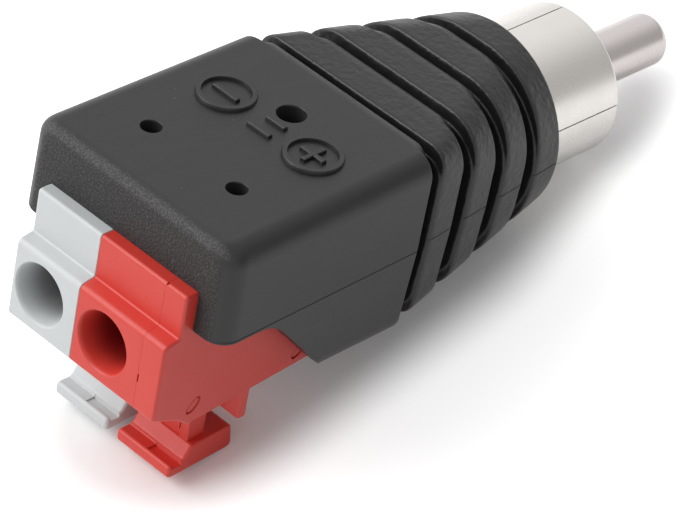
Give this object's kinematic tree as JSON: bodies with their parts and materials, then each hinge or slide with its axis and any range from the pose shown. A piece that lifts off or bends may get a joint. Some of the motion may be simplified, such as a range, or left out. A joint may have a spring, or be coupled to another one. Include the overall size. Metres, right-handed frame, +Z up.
{
  "type": "rca plug with push-in wire terminals",
  "caption": "Phono plug in a ribbed moulded body with colour-coded push-in wire terminals, each released by a sprung push button, for solderless audio or video wiring.",
  "frame": {"origin": "on the floor, under the middle of the bounding box, in the pose in which the plug lies on its push buttons and the edge of its shell", "axes": "+X towards the plug's tip, which points a little downwards; +Y to the grey terminal's side; +Z up"},
  "size_m": [0.045, 0.0158, 0.0186],
  "materials": {
    "overmould": "satin black PVC",
    "grey_plastic": "light grey moulded nylon",
    "red_plastic": "red moulded nylon",
    "spring_steel": "rolled strip",
    "tinned_brass": "tin plated",
    "nickel": "bright nickel plate",
    "bush_plastic": "natural plastic",
    "copper": "tinned or bare copper",
    "black_jacket": "PVC",
    "red_jacket": "PVC"
  },
  "bodies": {
    "plug": {"overmould": "overmould", "grey_housing": "grey_plastic", "red_housing": "red_plastic", "end_plate": "red_plastic", "grey_spring": "spring_steel", "red_spring": "spring_steel", "grey_contact": "tinned_brass", "red_contact": "tinned_brass", "rca_shell": "nickel", "insulator": "bush_plastic", "centre_pin": "nickel", "ground_wire": "copper", "ground_jacket": "black_jacket", "signal_wire": "copper", "signal_jacket": "red_jacket"},
    "grey_push": {"grey_button": "grey_plastic"},
    "red_push": {"red_button": "red_plastic"}
  },
  "joints": [
    {"name": "grey_press", "type": "slide", "parent": "plug", "child": "grey_push", "axis": [0.2537, 0, 0.9673], "range_m": [0, 0.0018], "stiffness_N_per_m": 3000, "deforming": ["grey_spring"]},
    {"name": "red_press", "type": "slide", "parent": "plug", "child": "red_push", "axis": [0.2537, 0, 0.9673], "range_m": [0, 0.0018], "stiffness_N_per_m": 3000, "deforming": ["red_spring"]}
  ]
}
